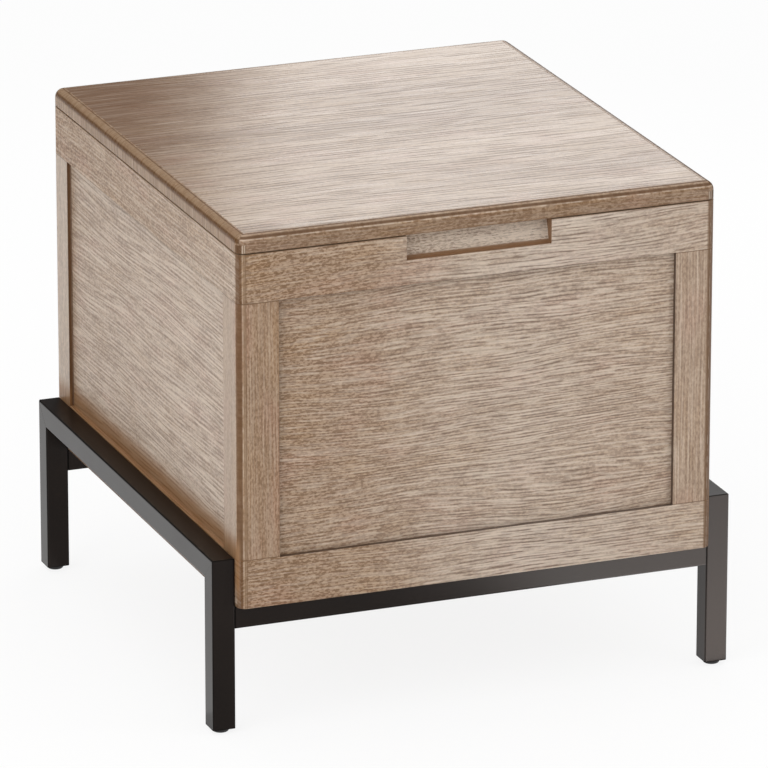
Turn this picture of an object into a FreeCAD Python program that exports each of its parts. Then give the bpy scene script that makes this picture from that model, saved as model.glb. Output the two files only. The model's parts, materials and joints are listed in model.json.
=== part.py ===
import FreeCAD
import Part
import Sketcher
import math
import os
import re
from FreeCAD import Placement, Rotation, Vector

# Chest-style end table: an oak frame-and-panel box with a lifting slab lid on a square-tube base.
# X is the width, the front faces -Y, Z is up, and the origin is on the floor under the middle of
# the whole footprint, hinge knuckles included.

document = FreeCAD.newDocument("trunk_end_table")
sheet = document.addObject("Spreadsheet::Sheet", "Dims")

# Driving dimensions, in millimetres and degrees
driving = [
    ("overall_width", 590.0, "base across its side frames"),
    ("base_depth", 562.0, "base from front to back"),
    ("tube", 25.4, "side of the square tube"),
    ("tube_wall", 1.5, "wall of the tube"),
    ("tube_radius", 2.0, "outer corner of the tube"),
    ("side_frame_height", 190.5, "leg bottom to the top of the side rail"),
    ("cross_rail_lift", 111.7, "leg bottom to the underside of the cross rails"),
    ("bolt_place", 160.0, "frame bolts from the middle"),
    ("bolt_radius", 3.0, "frame bolt"),
    ("bolt_head_radius", 5.5, "frame bolt's low hexagon head, across its corners"),
    ("bolt_head_height", 2.4, "frame bolt head"),
    ("bolt_play", 0.3, "cross rails' holes round the bolts"),
    ("bolt_short", 1.0, "bolt's end short of the insert's end"),
    ("insert_radius", 4.5, "threaded insert, outside"),
    ("insert_length", 13.0, "threaded insert"),
    ("foot_height", 5.0, "floor to the leg bottom"),
    ("foot_radius", 9.0, "glide"),
    ("stud_radius", 4.0, "stud of the levelling foot"),
    ("stud_length", 26.0, "stud above the glide"),
    ("plug_height", 18.0, "plug in the leg end"),
    ("running_gap", 0.06, "radial clearance of what turns or screws"),
    ("case_gap", 0.1, "box to each side frame"),
    ("case_depth", 586.0, "box from front to back"),
    ("case_height", 389.4, "box without its lid"),
    ("corner_radius", 10.0, "upright corners of the box"),
    ("rail_height", 53.5, "top and bottom rails"),
    ("rail_thickness", 25.0, "rails and posts"),
    ("post_width", 46.0, "post seen from the front"),
    ("post_depth", 45.0, "post seen from the side"),
    ("panel_recess", 5.0, "panel behind the frame's face"),
    ("panel_thickness", 6.0, "panel"),
    ("groove_depth", 8.0, "panel groove"),
    ("tongue_length", 7.5, "panel edge and post tongue in their grooves"),
    ("board_thickness", 15.0, "bottom board"),
    ("board_rebate", 10.0, "bottom board under the bottom rails"),
    ("pull_width", 163.0, "finger recess"),
    ("pull_height", 26.5, "finger recess"),
    ("pull_top_depth", 14.4, "finger recess under the lid"),
    ("pull_foot_depth", 8.2, "finger recess at its ledge"),
    ("pull_cove", 5.0, "hollow of the ledge"),
    ("seam", 1.2, "box to lid"),
    ("bumper_radius", 4.0, "bumper pad"),
    ("bumper_place", 225.0, "bumper pads from the middle"),
    ("lid_thickness", 19.0, "lid"),
    ("lipping", 11.0, "solid lipping round the lid core"),
    ("roundover", 10.0, "top edges of the lid"),
    ("hinge_place", 180.0, "middle of each hinge from the middle"),
    ("hinge_length", 75.0, "hinge, three knuckles long"),
    ("hinge_offset", 4.0, "hinge axis behind the back of the box"),
    ("knuckle_radius", 3.6, "hinge knuckle"),
    ("knuckle_gap", 0.4, "between knuckles, and knuckle to wood"),
    ("hinge_pin_radius", 1.75, "hinge pin"),
    ("leaf_thickness", 1.9, "hinge leaf"),
    ("leaf_gap", 0.2, "between the closed leaves"),
    ("leaf_reach", 22.0, "hinge leaf on the wood"),
    ("leaf_screw_inset", 14.0, "hinge screws from the back face"),
    ("leaf_screw_place", 26.0, "hinge screws from the hinge's middle"),
    ("screw_radius", 1.5, "wood screw shank"),
    ("screw_head_radius", 3.2, "wood screw head"),
    ("head_sink", 1.2, "hinge screws' heads, flush in the leaf"),
    ("screw_length", 13.0, "wood screw in the wood"),
    ("screw_play", 0.05, "screw head in its countersink"),
    ("pan_head", 2.0, "height of the stay screws' heads"),
    ("stay_reach", 150.0, "hinge axis to bracket pivot, and the arm's length"),
    ("stay_slope", 8.3, "fall of the track towards the front"),
    ("stay_lead", 1.0, "bracket pivot above the track's line when shut"),
    ("stay_opening", 75.0, "lid angle at which the track stops the block"),
    ("track_half", 7.0, "half the height of the track"),
    ("track_depth", 7.0, "track off the wall"),
    ("track_wall", 1.2, "track sheet"),
    ("track_slot", 3.1, "half the slot of the track"),
    ("track_tab", 9.0, "screw tab of the track"),
    ("tab_corner", 3.0, "rounded corners of the screw tab"),
    ("block_half", 8.0, "half the slide block's length"),
    ("block_play", 0.3, "slide block in the track"),
    ("block_rest", 1.0, "slide block to the track's end with the lid shut"),
    ("neck_inset", 2.0, "slide block's neck from its ends"),
    ("arm_half", 7.0, "half the arm's width"),
    ("arm_thickness", 2.0, "arm and lid bracket"),
    ("arm_stand", 8.5, "wall to the arm"),
    ("arm_play", 0.1, "arm to its neighbours"),
    ("pivot_radius", 2.0, "stay pins"),
    ("pivot_head_radius", 3.6, "stay pin heads"),
    ("pivot_head", 1.1, "stay pin heads"),
    ("ear_flare", 3.0, "bracket's ear wider at the lid"),
    ("flange_width", 24.0, "bracket under the lid"),
    ("flange_half", 16.0, "half the bracket's length"),
    ("flange_screw", 14.4, "bracket screws from the ear"),
    ("past", 1.0, "how far a cut runs past the wood"),
]
for row, (alias, amount, note) in enumerate(driving, start=1):
    sheet.set(f"A{row}", alias)
    sheet.set(f"B{row}", str(amount))
    sheet.set(f"C{row}", note)
    sheet.setAlias(f"B{row}", alias)
document.recompute()
named = {alias: f"Dims.{alias}" for alias, _, _ in driving}


def cell(formula):
    """The formula with each alias in it pointed at the sheet."""
    return re.sub(r"[a-z][a-z_]*", lambda word: named.get(word.group(), word.group()), str(formula))


def value(formula):
    return float(sheet.evalExpression(cell(formula)))


# Derived places
half_width = "(overall_width / 2 - tube - case_gap)"
half_depth = "(case_depth / 2)"
inner_wall = f"({half_width} - rail_thickness)"
leg_x = "(overall_width / 2 - tube / 2)"
leg_y = "(base_depth / 2 - tube / 2)"
side_top = "(foot_height + side_frame_height)"
cross_bottom = "(foot_height + cross_rail_lift)"
case_bottom = f"({cross_bottom} + tube)"
case_top = f"({case_bottom} + case_height)"
post_bottom = f"({case_bottom} + rail_height)"
post_top = f"({case_top} - rail_height)"
lid_bottom = f"({case_top} + seam)"
hinge_y = f"({half_depth} + hinge_offset)"
hinge_z = f"({case_top} + seam / 2)"
centre_shift = "(-(hinge_offset + knuckle_radius) / 2)"
stay_far = "(2 * stay_reach * cos(stay_lead))"
stay_near = "(2 * stay_reach * cos(stay_opening + stay_lead))"
bracket_y = f"({hinge_y} - stay_reach * cos(stay_slope - stay_lead))"
bracket_z = f"({hinge_z} - stay_reach * sin(stay_slope - stay_lead))"
block_y = f"({hinge_y} - {stay_far} * cos(stay_slope))"
block_z = f"({hinge_z} - {stay_far} * sin(stay_slope))"
leaf_seat = "(leaf_thickness + leaf_gap / 2 - seam / 2)"
arm_outside = "(arm_stand + arm_thickness + arm_play)"
ear_stand = f"({arm_outside} + arm_play)"
through = "(2 * overall_width)"

side_sign = {"left": -1, "right": 1}
end_sign = {"front": -1, "back": 1}
fastener_sides = 8
glide_sides = 32
sub_parts = []


# Helpers for sketches and features
def new_body(label):
    body = document.addObject("PartDesign::Body", label)
    body.Label = label
    return body


def new_sketch(body, role, offset=0):
    """A sketch on one of the body's own origin planes, moved along the plane's normal."""
    plane = next(feature for feature in body.Origin.OriginFeatures if feature.Role == role)
    sketch = body.newObject("Sketcher::SketchObject", f"{body.Name}_sketch")
    sketch.AttachmentSupport = (plane, "")
    sketch.MapMode = "FlatFace"
    sketch.setExpression("AttachmentOffset.Base.z", cell(offset))
    return sketch


def fix_point(sketch, geometry, point, x, y):
    """Dimension one point of a sketch from the sketch's origin."""
    for direction, formula in (("DistanceX", x), ("DistanceY", y)):
        rule = sketch.addConstraint(Sketcher.Constraint(direction, -1, 1, geometry, point, value(formula)))
        sketch.setExpression(f"Constraints[{rule}]", cell(formula))


def arc_between(start, end, radius, side):
    """The short arc from start to end, its centre on the left (1) or right (-1) of the way."""
    chord = end - start
    rise = math.sqrt(max(radius**2 - (chord.Length / 2) ** 2, 0.0))
    left = Vector(-chord.y, chord.x, 0).normalize()
    centre = (start + end) * 0.5 + left * rise * side
    first, last = (start, end) if side > 0 else (end, start)
    angles = [math.atan2(point.y - centre.y, point.x - centre.x) for point in (first, last)]
    return Part.ArcOfCircle(Part.Circle(centre, Vector(0, 0, 1), radius), *angles)


def add_loop(sketch, corners):
    """A closed outline. A corner is (x, y), or (x, y, radius, side) where an arc leads to the next one."""
    places = [Vector(value(corner[0]), value(corner[1]), 0) for corner in corners]
    first = sketch.GeometryCount
    tips = []
    for number, corner in enumerate(corners):
        start, end = places[number], places[(number + 1) % len(places)]
        if len(corner) == 2:
            sketch.addGeometry(Part.LineSegment(start, end), False)
            tips.append((1, 2))
        else:
            sketch.addGeometry(arc_between(start, end, value(corner[2]), corner[3]), False)
            tips.append((1, 2) if corner[3] > 0 else (2, 1))
    for number, corner in enumerate(corners):
        after = (number + 1) % len(corners)
        (tail, tip), (next_tail, _) = tips[number], tips[after]
        sketch.addConstraint(Sketcher.Constraint("Coincident", first + number, tip, first + after, next_tail))
        fix_point(sketch, first + number, tail, corner[0], corner[1])
    for number, corner in enumerate(corners):
        if len(corner) == 4:
            rule = sketch.addConstraint(Sketcher.Constraint("Radius", first + number, value(corner[2])))
            sketch.setExpression(f"Constraints[{rule}]", cell(corner[2]))
    return sketch


def add_circle(sketch, x, y, radius):
    circle = Part.Circle(Vector(value(x), value(y), 0), Vector(0, 0, 1), value(radius))
    geometry = sketch.addGeometry(circle, False)
    fix_point(sketch, geometry, 3, x, y)
    rule = sketch.addConstraint(Sketcher.Constraint("Radius", geometry, value(radius)))
    sketch.setExpression(f"Constraints[{rule}]", cell(radius))
    return sketch


def rectangle(x0, y0, x1, y1):
    return [(x0, y0), (x1, y0), (x1, y1), (x0, y1)]


def fastener_ring(x, y, radius, turn=0, sides=fastener_sides):
    """The small fasteners and their holes have a few flats instead of a round."""
    angles = [f"({turn} + {number * 360 / sides})" for number in range(sides)]
    return [(f"{x} + ({radius}) * cos({angle})", f"{y} + ({radius}) * sin({angle})") for angle in angles]


def rounded_square(x, y, half, radius):
    near_x, far_x = f"{x} - {half}", f"{x} + {half}"
    near_y, far_y = f"{y} - {half}", f"{y} + {half}"
    return [
        (f"{near_x} + {radius}", near_y),
        (f"{far_x} - {radius}", near_y, radius, 1),
        (far_x, f"{near_y} + {radius}"),
        (far_x, f"{far_y} - {radius}", radius, 1),
        (f"{far_x} - {radius}", far_y),
        (f"{near_x} + {radius}", far_y, radius, 1),
        (near_x, f"{far_y} - {radius}"),
        (near_x, f"{near_y} + {radius}", radius, 1),
    ]


def pad(body, sketch, length, symmetric=False, backwards=False):
    feature = body.newObject("PartDesign::Pad", f"{body.Name}_pad")
    feature.Profile = sketch
    feature.setExpression("Length", cell(length))
    feature.SideType = "Symmetric" if symmetric else "One side"
    feature.Reversed = backwards
    document.recompute()


def pocket(body, sketch, depth, symmetric=False, backwards=False):
    """A pocket goes against the sketch's normal, or along it when backwards. It has to cut something."""
    before = body.Shape.Volume
    feature = body.newObject("PartDesign::Pocket", f"{body.Name}_pocket")
    feature.Profile = sketch
    feature.setExpression("Length", cell(depth))
    feature.SideType = "Symmetric" if symmetric else "One side"
    feature.Reversed = backwards
    document.recompute()
    if body.Shape.Volume > before - 1e-3:
        raise RuntimeError(f"{body.Label}: a pocket cuts nothing")


def holes(body, role, offset, spots, radius, depth, symmetric=False, backwards=False):
    sketch = new_sketch(body, role, offset)
    for x, y in spots:
        add_circle(sketch, x, y, radius)
    pocket(body, sketch, depth, symmetric, backwards)


def fastener_holes(body, role, offset, spots, radius, depth, symmetric=False, backwards=False, turn=0):
    sketch = new_sketch(body, role, offset)
    for x, y in spots:
        add_loop(sketch, fastener_ring(x, y, radius, turn))
    pocket(body, sketch, depth, symmetric, backwards)


def finish(shape_object, label=None):
    """Name a finished sub-part and move it from the box's centre to the footprint's centre."""
    if label:
        shape_object.Label = label
    shape_object.setExpression("Placement.Base.y", cell(centre_shift))
    sub_parts.append(shape_object)


# Helpers for primitives and booleans
def bind(shape_object, sizes, corner):
    for name, formula in sizes.items():
        shape_object.setExpression(name, cell(formula))
    for axis, formula in zip("xyz", corner):
        shape_object.setExpression(f"Placement.Base.{axis}", cell(formula))
    return shape_object


def block(length, width, height, corner):
    shape_object = document.addObject("Part::Box", "block")
    return bind(shape_object, {"Length": length, "Width": width, "Height": height}, corner)


def rod(radius, length, base):
    """A cylinder along X."""
    shape_object = document.addObject("Part::Cylinder", "rod")
    shape_object.Placement = Placement(Vector(), Rotation(Vector(0, 1, 0), 90))
    return bind(shape_object, {"Radius": radius, "Height": length}, base)


def prism(radius, height, base, sides=fastener_sides):
    shape_object = document.addObject("Part::Prism", "prism")
    shape_object.Polygon = sides
    return bind(shape_object, {"Circumradius": radius, "Height": height}, base)


def joined(shapes):
    fuse = document.addObject("Part::MultiFuse", "joined")
    fuse.Shapes = shapes
    return fuse


def cut(base, tools):
    result = document.addObject("Part::Cut", "cut")
    result.Base = base
    result.Tool = tools[0] if len(tools) == 1 else joined(tools)
    return result


def placed_group(shapes, label):
    """Identical small pieces as separate solids of one sub-part."""
    compound = document.addObject("Part::Compound", "group")
    compound.Links = shapes
    compound.Label = label
    sub_parts.append(compound)
    return compound


def group(shapes, label):
    placed_group(shapes, label).setExpression("Placement.Base.y", cell(centre_shift))


# Base of square tube, its corners mitred
def tube_loops(sketch, x, y):
    add_loop(sketch, rounded_square(x, y, "tube / 2", "tube_radius"))
    inner = "(tube / 2 - tube_wall)"
    add_loop(sketch, rectangle(f"{x} - {inner}", f"{y} - {inner}", f"{x} + {inner}", f"{y} + {inner}"))
    return sketch


def make_leg(side, end):
    x, y = f"{side_sign[side]} * {leg_x}", f"{end_sign[end]} * {leg_y}"
    body = new_body(f"leg_{end}_{side}")
    pad(body, tube_loops(new_sketch(body, "XY_Plane", "foot_height"), x, y), "side_frame_height")
    outer, inner = (f"{end_sign[end]} * {reach}" for reach in ("base_depth / 2", "(base_depth / 2 - tube)"))
    sketch = new_sketch(body, "YZ_Plane")
    add_loop(sketch, [(outer, side_top), (inner, side_top), (inner, f"{side_top} - tube")])
    pocket(body, sketch, through, symmetric=True)
    finish(body)


def make_side_rail(side):
    body = new_body(f"side_rail_{side}")
    place = f"{side_sign[side]} * {leg_x}", f"({side_top} - tube / 2)"
    sketch = tube_loops(new_sketch(body, "XZ_Plane"), *place)
    pad(body, sketch, "base_depth", symmetric=True)
    for sign in end_sign.values():
        outer, inner = (f"{sign} * {reach}" for reach in ("base_depth / 2", "(base_depth / 2 - tube)"))
        sketch = new_sketch(body, "YZ_Plane")
        add_loop(sketch, [(outer, side_top), (outer, f"{side_top} - tube"), (inner, f"{side_top} - tube")])
        pocket(body, sketch, through, symmetric=True)
    finish(body)


def bolt_spots(end):
    return [(f"{sign} * bolt_place", f"{end_sign[end]} * {leg_y}") for sign in (-1, 1)]


def make_cross_rail(end):
    body = new_body(f"cross_rail_{end}")
    place = f"{end_sign[end]} * {leg_y}", f"({cross_bottom} + tube / 2)"
    sketch = tube_loops(new_sketch(body, "YZ_Plane"), *place)
    pad(body, sketch, "overall_width - 2 * tube", symmetric=True)
    radius = "bolt_radius + bolt_play"
    fastener_holes(body, "XY_Plane", 0, bolt_spots(end), radius, through, symmetric=True)
    finish(body)


def make_frame_fasteners():
    spots = [spot for end in end_sign for spot in bolt_spots(end)]
    bolts, inserts = [], []
    for x, y in spots:
        seat = (x, y, f"{cross_bottom} - bolt_head_height")
        head = prism("bolt_head_radius", "bolt_head_height", seat, sides=6)
        shank = prism("bolt_radius", "tube + insert_length - bolt_short", (x, y, cross_bottom))
        bolts.append(joined([head, shank]))
        sleeve = prism("insert_radius", "insert_length", (x, y, case_bottom))
        inserts.append(cut(sleeve, [prism("bolt_radius", "insert_length", (x, y, case_bottom))]))
    group(bolts, "frame_bolts")
    group(inserts, "frame_inserts")


# Levelling feet and the plugs that carry them
def make_leg_plugs():
    plugs = []
    width = "(tube - 2 * tube_wall)"
    for side in side_sign.values():
        for end in end_sign.values():
            x, y = f"{side} * {leg_x}", f"{end} * {leg_y}"
            corner = (f"{x} - {width} / 2", f"{y} - {width} / 2", "foot_height")
            body = block(width, width, "plug_height", corner)
            bore = prism("stud_radius + running_gap", "plug_height", (x, y, "foot_height"))
            plugs.append(cut(body, [bore]))
    group(plugs, "leg_plugs")


def make_foot(side, end):
    """A glide with enough flats to look round, moulded on a stud."""
    body = new_body(f"levelling_foot_{end}_{side}")
    ring = fastener_ring(0, 0, "foot_radius", sides=glide_sides)
    pad(body, add_loop(new_sketch(body, "XY_Plane"), ring), "foot_height")
    stud = new_sketch(body, "XY_Plane", "foot_height")
    pad(body, add_loop(stud, fastener_ring(0, 0, "stud_radius")), "stud_length")
    body.setExpression("Placement.Base.x", cell(f"{side_sign[side]} * {leg_x}"))
    body.setExpression("Placement.Base.y", cell(f"{end_sign[end]} * {leg_y} + {centre_shift}"))
    sub_parts.append(body)


# Box of mitred rings, L-shaped posts and grooved panels
def facing(face, along, outward):
    """A plan point given along a face and outward from the centre, turned to that face."""
    if face == "front":
        return along, f"-({outward})"
    if face == "back":
        return f"-({along})", outward
    if face == "right":
        return outward, along
    return f"-({outward})", f"-({along})"


def face_reach(face):
    """Half the length of a face, and its distance from the centre."""
    return (half_width, half_depth) if face in end_sign else (half_depth, half_width)


def make_ring_rail(level, face):
    """A rail of the top or bottom ring, its rounded outer corners halved by the mitres."""
    body = new_body(f"{level}_rail_{face}")
    half, out = face_reach(face)
    bottom = case_bottom if level == "bottom" else post_top
    corner = "corner_radius * (1 - sqrt(0.5))"
    plan = [
        (*facing(face, f"-({half} - {corner})", f"{out} - {corner}"), "corner_radius", 1),
        facing(face, f"-({half} - corner_radius)", out),
        (*facing(face, f"{half} - corner_radius", out), "corner_radius", 1),
        facing(face, f"{half} - {corner}", f"{out} - {corner}"),
        facing(face, f"{half} - rail_thickness", f"{out} - rail_thickness"),
        facing(face, f"-({half} - rail_thickness)", f"{out} - rail_thickness"),
    ]
    pad(body, add_loop(new_sketch(body, "XY_Plane", bottom), plan), "rail_height")
    groove_floor = post_top if level == "top" else post_bottom
    groove = strip(face, half, f"{out} - panel_recess - panel_thickness", f"{out} - panel_recess")
    sketch = add_loop(new_sketch(body, "XY_Plane", groove_floor), groove)
    pocket(body, sketch, "groove_depth", backwards=level == "top")
    return body


def strip(face, half, near, far):
    """A straight band of plan along a face, running past its mitres."""
    ends = [(f"-{half}", near), (f"-{half}", far), (half, far), (half, near)]
    return [facing(face, along, outward) for along, outward in ends]


def make_bottom_rail(face):
    body = make_ring_rail("bottom", face)
    half, out = face_reach(face)
    rebate = strip(face, half, f"{out} - rail_thickness - past", f"{out} - rail_thickness + board_rebate")
    sketch = add_loop(new_sketch(body, "XY_Plane", case_bottom), rebate)
    pocket(body, sketch, "board_thickness", backwards=True)
    finish(body)


def make_front_top_rail():
    """The finger recess leans back from its coved ledge to the lid, where it is deepest."""
    body = make_ring_rail("top", "front")
    ledge = f"({case_top} - pull_height)"
    lean = "atan((pull_top_depth - pull_foot_depth) / pull_height)"
    profile = [
        (f"-{half_depth} - past", f"{case_top} + past"),
        (f"-{half_depth} - past", ledge),
        (f"-{half_depth} + pull_foot_depth - pull_cove * cos({lean})", ledge, "pull_cove", 1),
        (f"-{half_depth} + pull_foot_depth", f"{ledge} + pull_cove * (1 - sin({lean}))"),
        (f"-{half_depth} + pull_top_depth", case_top),
        (f"-{half_depth} + pull_top_depth", f"{case_top} + past"),
    ]
    pocket(body, add_loop(new_sketch(body, "YZ_Plane"), profile), "pull_width", symmetric=True)
    finish(body)


def leaf_mortises(body, level):
    """Seats for both hinges in the back rail's top or in the lid's underside."""
    up = level == "lid"
    sketch = new_sketch(body, "XY_Plane", lid_bottom if up else case_top)
    for sign in (-1, 1):
        middle = f"{sign} * hinge_place"
        near, far = f"{middle} - hinge_length / 2", f"{middle} + hinge_length / 2"
        add_loop(sketch, rectangle(near, f"{half_depth} - leaf_reach", far, f"{half_depth} + past"))
    pocket(body, sketch, leaf_seat, backwards=up)


def leaf_screw_spots(sides=(-1, 1)):
    across = f"{half_depth} - leaf_screw_inset"
    places = [f"{side} * hinge_place + {step} * leaf_screw_place" for side in sides for step in (-1, 1)]
    return [(place, across) for place in places]


def make_back_top_rail():
    body = make_ring_rail("top", "back")
    leaf_mortises(body, "case")
    seat = f"{case_top} - {leaf_seat}"
    fastener_holes(body, "XY_Plane", seat, leaf_screw_spots(), "screw_radius", "screw_length")
    finish(body)


def track_screw_spots():
    """Screw places along the track's line from the hinge axis, one in each end tab."""
    near = f"({stay_near} - block_half - block_play - track_wall - track_tab / 2)"
    far = f"({stay_far} + block_half + block_rest + track_wall + track_tab / 2)"
    return near, far


def make_side_top_rail(side):
    body = make_ring_rail("top", side)
    spots = [
        (f"{hinge_y} - {along} * cos(stay_slope)", f"{hinge_z} - {along} * sin(stay_slope)")
        for along in track_screw_spots()
    ]
    wall, outward = f"{side_sign[side]} * {inner_wall}", side == "right"
    depth = "screw_length - past"
    turn = "stay_slope"
    fastener_holes(body, "YZ_Plane", wall, spots, "screw_radius", depth, backwards=outward, turn=turn)
    finish(body)


def make_post(side, end):
    """An L in plan with a rounded outer arris, tongues for the rails' grooves and grooves for the panels."""
    across, along = side_sign[side], end_sign[end]
    body = new_body(f"corner_post_{end}_{side}")

    def inset(x, y):
        return f"{across} * ({half_width} - {x})", f"{along} * ({half_depth} - {y})"

    plan = [
        (*inset("0", "corner_radius"), "corner_radius", across * along),
        inset("corner_radius", "0"),
        inset("post_width", "0"),
        inset("post_width", "rail_thickness"),
        inset("rail_thickness", "rail_thickness"),
        inset("rail_thickness", "post_depth"),
        inset("0", "post_depth"),
    ]
    pad(body, add_loop(new_sketch(body, "XY_Plane", post_bottom), plan), f"{post_top} - {post_bottom}")
    back = "(panel_recess + panel_thickness)"
    tongue = [
        inset("panel_recess", "panel_recess"),
        inset("(post_width - groove_depth)", "panel_recess"),
        inset("(post_width - groove_depth)", back),
        inset(back, back),
        inset(back, "(post_depth - groove_depth)"),
        inset("panel_recess", "(post_depth - groove_depth)"),
    ]
    sketch = add_loop(new_sketch(body, "XY_Plane", f"{post_bottom} - tongue_length"), tongue)
    pad(body, sketch, f"{post_top} - {post_bottom} + 2 * tongue_length")
    sketch = new_sketch(body, "XY_Plane")
    floor, mouth = "(post_width - groove_depth)", "(post_width + past)"
    groove = [(mouth, "panel_recess"), (floor, "panel_recess"), (floor, back), (mouth, back)]
    add_loop(sketch, [inset(x, y) for x, y in groove])
    floor, mouth = "(post_depth - groove_depth)", "(post_depth + past)"
    groove = [("panel_recess", mouth), ("panel_recess", floor), (back, floor), (back, mouth)]
    add_loop(sketch, [inset(x, y) for x, y in groove])
    pocket(body, sketch, f"2 * {through}", symmetric=True)
    finish(body)


def make_panel(face):
    body = new_body(f"panel_{face}")
    half, out = face_reach(face)
    post = "post_width" if face in end_sign else "post_depth"
    reach = f"({half} - {post} + tongue_length)"
    plan = strip(face, reach, f"{out} - panel_recess - panel_thickness", f"{out} - panel_recess")
    sketch = add_loop(new_sketch(body, "XY_Plane", f"{post_bottom} - tongue_length"), plan)
    pad(body, sketch, f"{post_top} - {post_bottom} + 2 * tongue_length")
    finish(body)


def make_bottom_board():
    body = new_body("bottom_board")
    reach_x, reach_y = (f"({reach} - rail_thickness + board_rebate)" for reach in (half_width, half_depth))
    plan = rectangle(f"-{reach_x}", f"-{reach_y}", reach_x, reach_y)
    pad(body, add_loop(new_sketch(body, "XY_Plane", case_bottom), plan), "board_thickness")
    spots = [spot for end in end_sign for spot in bolt_spots(end)]
    fastener_holes(body, "XY_Plane", case_bottom, spots, "insert_radius", "insert_length", backwards=True)
    finish(body)


def make_bumpers():
    middle = f"-{half_depth} + rail_thickness / 2"
    pads = [
        prism("bumper_radius", "seam", (f"{sign} * bumper_place", middle, case_top))
        for sign in (-1, 1)
    ]
    group(pads, "lid_bumpers")


# Lid: a core with four mitred lippings, rounded over round the top
def make_lid_core():
    body = new_body("lid_core")
    reach_x, reach_y = f"({half_width} - lipping)", f"({half_depth} - lipping)"
    plan = rectangle(f"-{reach_x}", f"-{reach_y}", reach_x, reach_y)
    pad(body, add_loop(new_sketch(body, "XY_Plane", lid_bottom), plan), "lid_thickness")
    leaf_mortises(body, "lid")
    seat = f"{lid_bottom} + {leaf_seat}"
    spots = leaf_screw_spots()
    fastener_holes(body, "XY_Plane", seat, spots, "screw_radius", "screw_length", backwards=True)
    spots = [spot for side in side_sign for spot in flange_screw_spots(side)]
    depth = "screw_length - past"
    fastener_holes(body, "XY_Plane", lid_bottom, spots, "screw_radius", depth, backwards=True)
    finish(body)


def make_lippings():
    corner = (f"-{half_width}", f"-{half_depth}", lid_bottom)
    slab = block(f"2 * {half_width}", "case_depth", "lid_thickness", corner)
    document.recompute()
    rounded = document.addObject("Part::Fillet", "rounded_slab")
    rounded.Base = slab
    radius, low = value("roundover"), slab.Shape.BoundBox.ZMin + 1
    edges = enumerate(slab.Shape.Edges, start=1)
    rounded.Edges = [(number, radius, radius) for number, edge in edges if edge.CenterOfMass.z > low]
    for face in ("front", "right", "back", "left"):
        half, out = face_reach(face)
        mitred = document.addObject("Part::Wedge", "mitred")
        turn = {"front": 0, "right": 90, "back": 180, "left": 270}[face]
        mitred.Placement = Placement(Vector(), Rotation(Vector(0, 0, 1), turn))
        sizes = {
            "Xmin": f"-{half}", "Xmax": half, "X2min": f"-{half} + lipping", "X2max": f"{half} - lipping",
            "Ymin": 0, "Ymax": "lipping",
            "Zmin": 0, "Zmax": "lid_thickness", "Z2min": 0, "Z2max": "lid_thickness",
        }
        bind(mitred, sizes, (*facing(face, "0", out), lid_bottom))
        shaped = document.addObject("Part::Common", "shaped")
        shaped.Base = rounded
        shaped.Tool = mitred
        if face == "back":
            seats = [
                block("hinge_length", "lipping", leaf_seat,
                      (f"{sign} * hinge_place - hinge_length / 2", f"{half_depth} - lipping", lid_bottom))
                for sign in (-1, 1)
            ]
            shaped = cut(shaped, seats)
        finish(shaped, f"lid_edge_{face}")


# Butt hinges, three knuckles each, leaves let into the wood
def hinge_leaf(side, level):
    """Plate and barrel, cut back where the other leaf's knuckles are."""
    middle = f"{side_sign[side]} * hinge_place"
    start = f"({middle} - hinge_length / 2)"
    upper = level == "lid"
    lower_z = f"({hinge_z} + leaf_gap / 2)" if upper else f"({hinge_z} - leaf_gap / 2 - leaf_thickness)"
    plate = block("hinge_length", "leaf_reach + hinge_offset", "leaf_thickness",
                  (start, f"{half_depth} - leaf_reach", lower_z))
    barrel = rod("knuckle_radius", "hinge_length", (start, hinge_y, hinge_z))
    bore_base = (f"{start} - past", hinge_y, hinge_z)
    tools = [rod("hinge_pin_radius + running_gap", "hinge_length + 2 * past", bore_base)]
    for number in (0, 2) if upper else (1,):
        corner = (f"{start} + {number} * hinge_length / 3 - knuckle_gap / 2",
                  f"{hinge_y} - knuckle_radius - knuckle_gap", f"{hinge_z} - 2 * knuckle_radius")
        room = "4 * knuckle_radius"
        tools.append(block("hinge_length / 3 + knuckle_gap", room, room, corner))
    seat = lower_z if upper else f"({lower_z} + leaf_thickness - head_sink)"
    for x, y in leaf_screw_spots([side_sign[side]]):
        tools.append(prism("screw_radius + screw_play", "leaf_thickness", (x, y, lower_z)))
        tools.append(prism("screw_head_radius + screw_play", "head_sink", (x, y, seat)))
    finish(cut(joined([plate, barrel]), tools), f"hinge_{level}_leaf_{side}")


def make_hinge_pins():
    pins = []
    for sign in (-1, 1):
        start = f"({sign} * hinge_place - hinge_length / 2)"
        pins.append(rod("hinge_pin_radius", "hinge_length", (start, hinge_y, hinge_z)))
    group(pins, "hinge_pins")


def make_hinge_screws(level):
    """Heads flush with the leaves' meeting faces, shanks up into the lid or down into the rail."""
    screws = []
    length = "(leaf_thickness - head_sink + screw_length)"
    for x, y in leaf_screw_spots():
        if level == "lid":
            head_z, shank_z = f"({hinge_z} + leaf_gap / 2)", f"({hinge_z} + leaf_gap / 2 + head_sink)"
        else:
            head_z = f"({hinge_z} - leaf_gap / 2 - head_sink)"
            shank_z = f"({head_z} - {length})"
        head = prism("screw_head_radius", "head_sink", (x, y, head_z))
        screws.append(joined([head, prism("screw_radius", length, (x, y, shank_z))]))
    group(screws, f"hinge_{level}_screws")


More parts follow.
